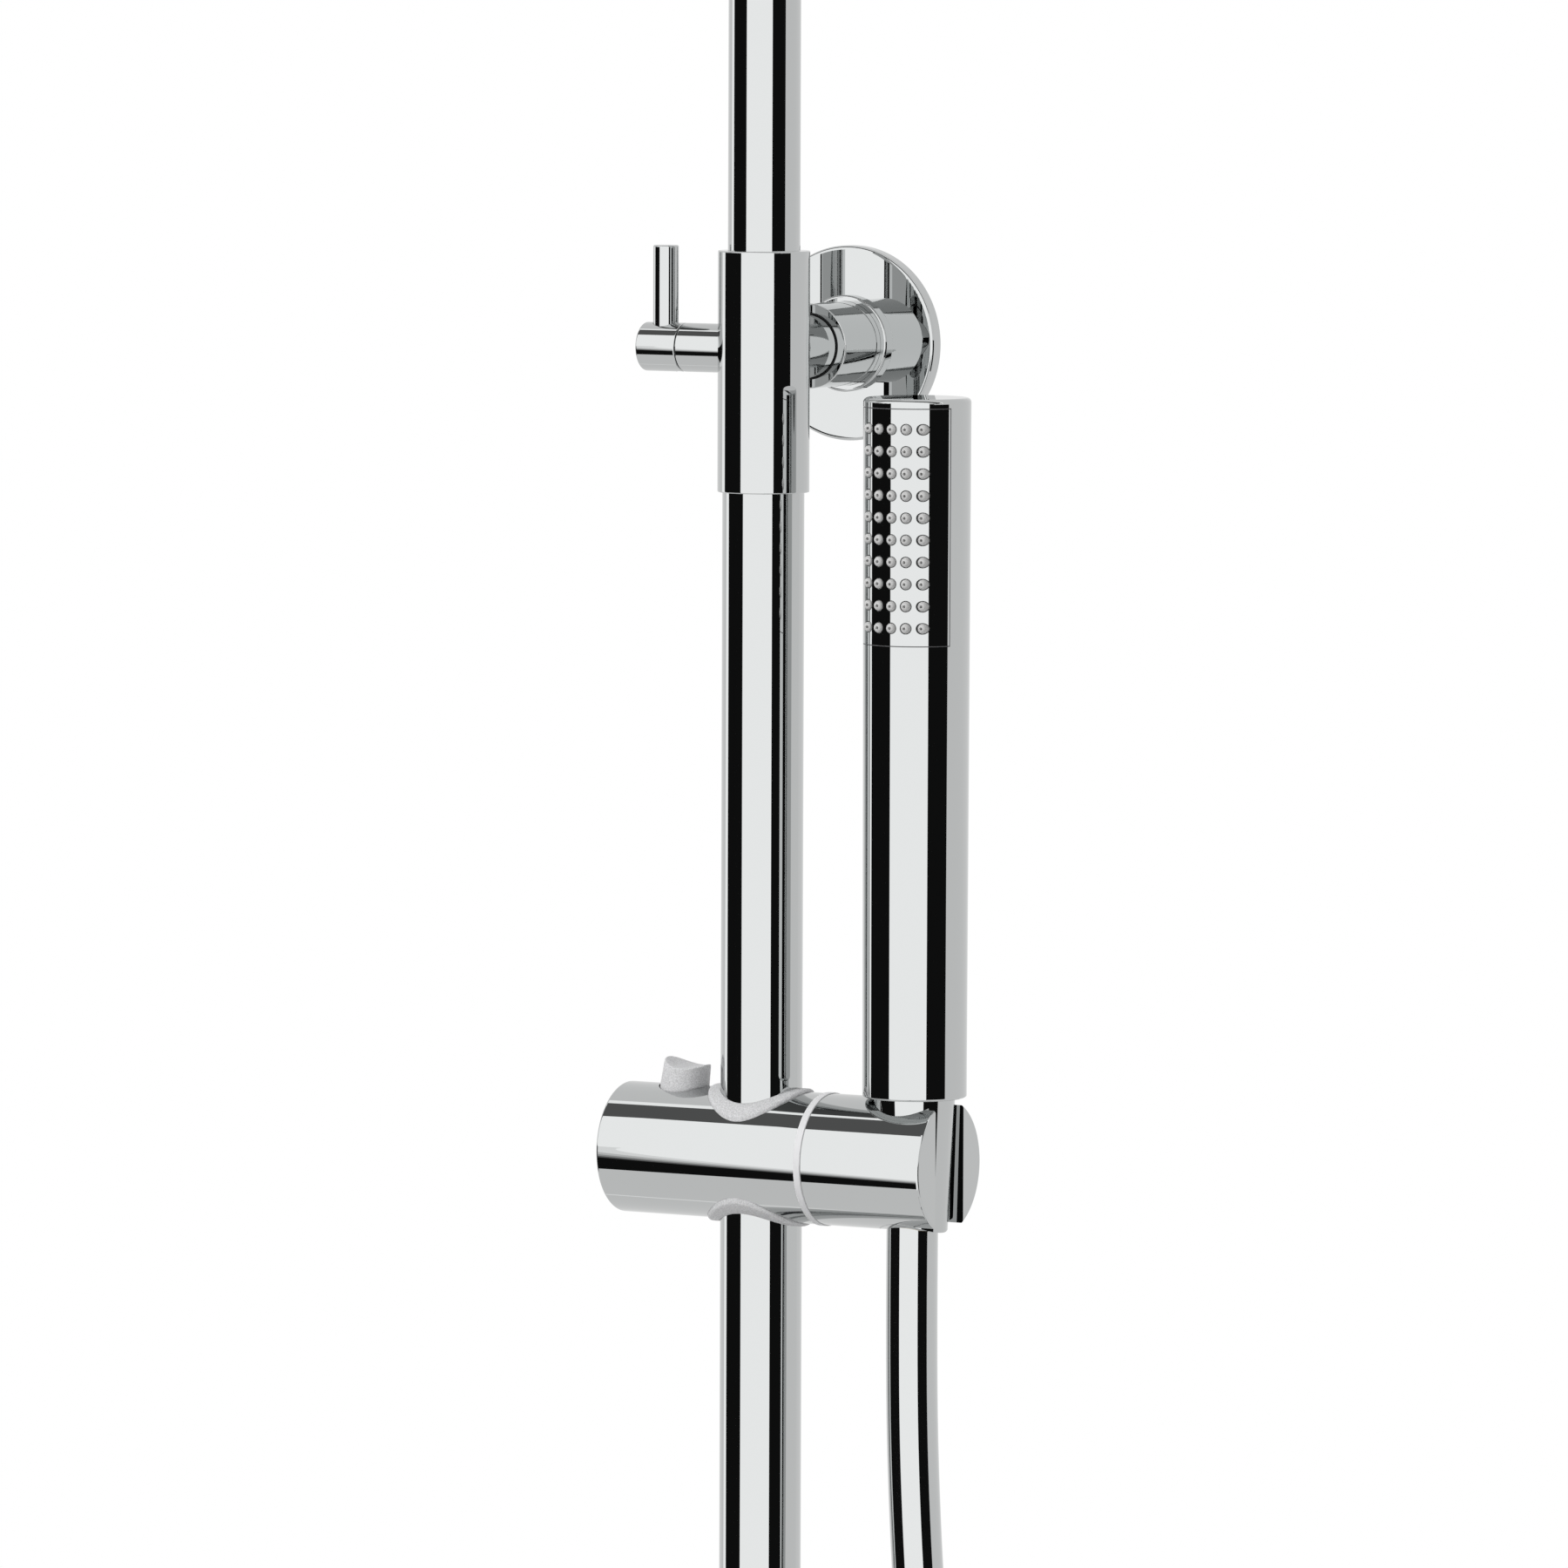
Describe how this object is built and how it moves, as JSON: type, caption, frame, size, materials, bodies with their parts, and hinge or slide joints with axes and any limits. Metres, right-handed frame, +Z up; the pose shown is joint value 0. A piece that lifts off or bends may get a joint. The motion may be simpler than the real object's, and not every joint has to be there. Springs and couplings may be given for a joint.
{
  "type": "shower rail set",
  "caption": "Chrome shower rail with a wall bracket, a lever diverter, a sliding holder with a push button, a tilting stick hand shower and a hose.",
  "frame": {"origin": "on the wall plane, on the axis of the water inlet, behind the middle of the rose", "axes": "+Y goes into the wall along the inlet, +Z up along the rail, +X to the right of someone who faces the wall"},
  "size_m": [0.1603, 0.2394, 0.7124],
  "materials": {
    "chrome": "mirror polished",
    "brass": "machined",
    "steel": "satin",
    "seal_rubber": "matt",
    "frosted_plastic": "frosted, slightly see-through",
    "silicone": "satin",
    "inner_plastic": "moulded",
    "hose_skin": "smooth metal-look skin",
    "strap": "matt"
  },
  "bodies": {
    "root": {"riser_tube": "chrome", "riser_o_ring": "seal_rubber", "diverter_body": "chrome", "diverter_neck": "chrome", "diverter_liner": "inner_plastic", "spindle_o_ring": "seal_rubber", "rail_tube": "chrome", "rail_seal": "seal_rubber", "rail_end_cap": "chrome", "inlet_spigot": "chrome", "spigot_o_ring": "seal_rubber", "inlet_wiper": "seal_rubber", "wall_nipple": "brass", "bracket_sleeve": "chrome", "bracket_set_screw": "steel", "bracket_ring": "chrome", "wall_rose": "chrome", "rose_seal": "seal_rubber"},
    "lever": {"diverter_spindle": "brass", "lever_hub": "chrome", "lever_stick": "chrome", "lever_set_screw": "steel"},
    "grip": {"grip_collar": "inner_plastic"},
    "slider": {"clamp_body": "chrome", "upper_bush": "frosted_plastic", "lower_bush": "frosted_plastic", "button_spring": "steel", "friction_washer": "frosted_plastic", "pivot_screw": "steel", "disc_spring": "steel", "hose_run": "hose_skin", "hose_coil": "hose_skin", "hose_tail": "hose_skin", "hose_tie": "strap", "hose_end_ferrule": "chrome", "hose_end_washer": "seal_rubber"},
    "button": {"release_button": "frosted_plastic"},
    "pin": {"lock_pin": "steel"},
    "holder": {"holder_barrel": "chrome", "handset_body": "chrome", "spray_plate": "chrome", "nozzle_mat": "silicone", "spray_chamber": "inner_plastic", "handset_waterway": "inner_plastic", "handset_inlet": "chrome", "inlet_washer": "seal_rubber", "hose_cone_nut": "chrome", "hose_top_ferrule": "brass"},
    "end_nut": {"hose_end_nut": "chrome"}
  },
  "joints": [
    {"name": "lever_turn", "type": "hinge", "parent": "root", "child": "lever", "pos_m": [-0.0342, -0.0575, 0], "axis": [1, 0, 0], "range_deg": [0, 90]},
    {"name": "slider_height", "type": "slide", "parent": "root", "child": "grip", "axis": [0, 0, 1], "range_m": [-0.155, 0.175]},
    {"name": "slider_swivel", "type": "hinge", "parent": "grip", "child": "slider", "pos_m": [0, -0.0575, -0.2458], "axis": [0, 0, 1], "range_deg": [-90, 30]},
    {"name": "button_press", "type": "slide", "parent": "slider", "child": "button", "axis": [-0.1392, 0, -0.9903], "range_m": [0, 0.004], "stiffness_N_per_m": 900, "springref_m": -0.002, "deforming": ["button_spring"]},
    {"name": "lock_pin_slide", "type": "slide", "parent": "slider", "child": "pin", "axis": [-1, 0, 0], "range_m": [0, 0.001]},
    {"name": "holder_tilt", "type": "hinge", "parent": "slider", "child": "holder", "pos_m": [0.04, -0.0575, -0.2458], "axis": [1, 0, 0], "range_deg": [0, 40]},
    {"name": "hose_nut_spin", "type": "hinge", "parent": "slider", "child": "end_nut", "pos_m": [0.0993, -0.21308, -0.4046], "axis": [0, 0, 1], "continuous": true}
  ],
  "couplings": [
    {"joint": "lock_pin_slide", "follows": "button_press", "ratio": 0.25}
  ]
}
